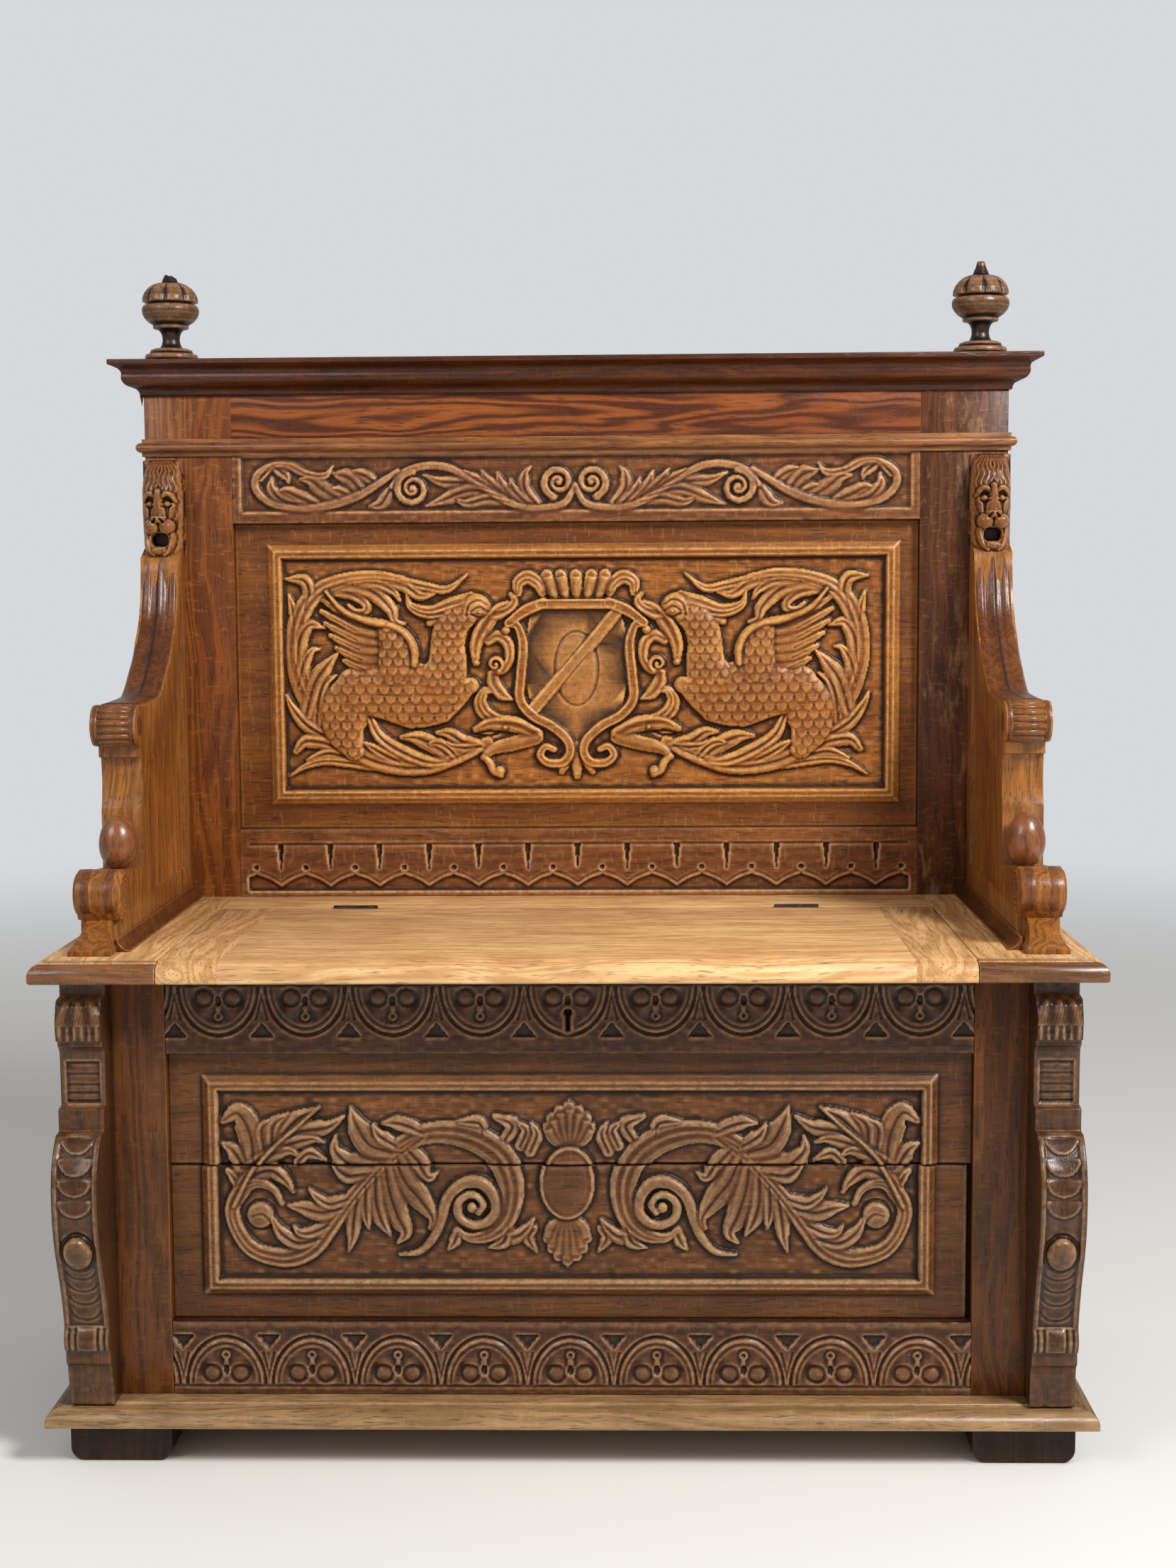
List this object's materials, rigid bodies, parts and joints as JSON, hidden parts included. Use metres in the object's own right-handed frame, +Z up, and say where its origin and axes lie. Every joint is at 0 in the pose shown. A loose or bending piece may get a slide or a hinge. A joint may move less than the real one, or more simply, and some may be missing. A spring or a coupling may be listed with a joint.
{
  "type": "settle bench",
  "caption": "Carved oak box settle: panelled chest seat with a hinged lid and lock, scrolled arms, framed high back with cornice and two turned finials.",
  "frame": {"origin": "on the floor, at the centre of the bounding box's underside", "axes": "+Z up, the front faces -Y, +X to the right when seen from the front"},
  "size_m": [1.064, 0.491, 1.2545],
  "materials": {
    "oak_back": "waxed golden brown oak",
    "oak_chest": "dark stained oak",
    "oak_seat": "worn bare oak",
    "oak_dark": "dark stained oak",
    "iron": "dull iron"
  },
  "bodies": {
    "settle_frame": {"arm_cove_left": "oak_chest", "arm_cove_right": "oak_chest", "arm_left": "oak_chest", "arm_right": "oak_chest", "back_board": "oak_back", "back_rail_bottom": "oak_back", "back_rail_top": "oak_back", "back_stile_left": "oak_back", "back_stile_right": "oak_back", "chest_floor": "oak_chest", "chest_front_board_lower": "oak_chest", "chest_front_board_upper": "oak_chest", "chest_front_rail_bottom": "oak_chest", "chest_front_rail_top": "oak_chest", "chest_front_stile_left": "oak_chest", "chest_front_stile_right": "oak_chest", "chest_rear_panel": "oak_chest", "chest_rear_post_left": "oak_chest", "chest_rear_post_right": "oak_chest", "chest_rear_rail_bottom": "oak_chest", "chest_rear_rail_top": "oak_chest", "chest_side_panel_left": "oak_chest", "chest_side_panel_right": "oak_chest", "chest_side_rail_bottom_left": "oak_chest", "chest_side_rail_bottom_right": "oak_chest", "chest_side_rail_top_left": "oak_chest", "chest_side_rail_top_right": "oak_chest", "console_left": "oak_chest", "console_right": "oak_chest", "cornice_cap": "oak_back", "cornice_moulding": "oak_back", "finials": "oak_dark", "foot_front_left": "oak_chest", "foot_front_right": "oak_chest", "foot_rear_left": "oak_chest", "foot_rear_right": "oak_chest", "frieze_rail": "oak_back", "hinge_leaves_seat": "iron", "hinge_pins": "iron", "hinge_screws_seat": "iron", "lock_case": "iron", "lock_screws": "iron", "plinth_front": "oak_chest", "plinth_rear": "oak_chest", "plinth_side_left": "oak_chest", "plinth_side_right": "oak_chest", "seat_end_left": "oak_seat", "seat_end_right": "oak_seat", "seat_rear_board": "oak_seat", "string_moulding": "oak_back"},
    "lid": {"lid_board": "oak_seat", "lid_cleat_left": "oak_seat", "lid_cleat_right": "oak_seat", "hinge_leaves_lid": "iron", "hinge_screws_lid": "iron", "lock_catch": "iron", "catch_screws": "iron"},
    "bolt": {"lock_bolt": "iron"}
  },
  "joints": [
    {"name": "lid_hinge", "type": "hinge", "parent": "settle_frame", "child": "lid", "pos_m": [0, 0.1173, 0.526], "axis": [-1, 0, 0], "range_deg": [0, 104]},
    {"name": "bolt_slide", "type": "slide", "parent": "settle_frame", "child": "bolt", "axis": [0, 0, 1], "range_m": [0, 0.008]}
  ]
}
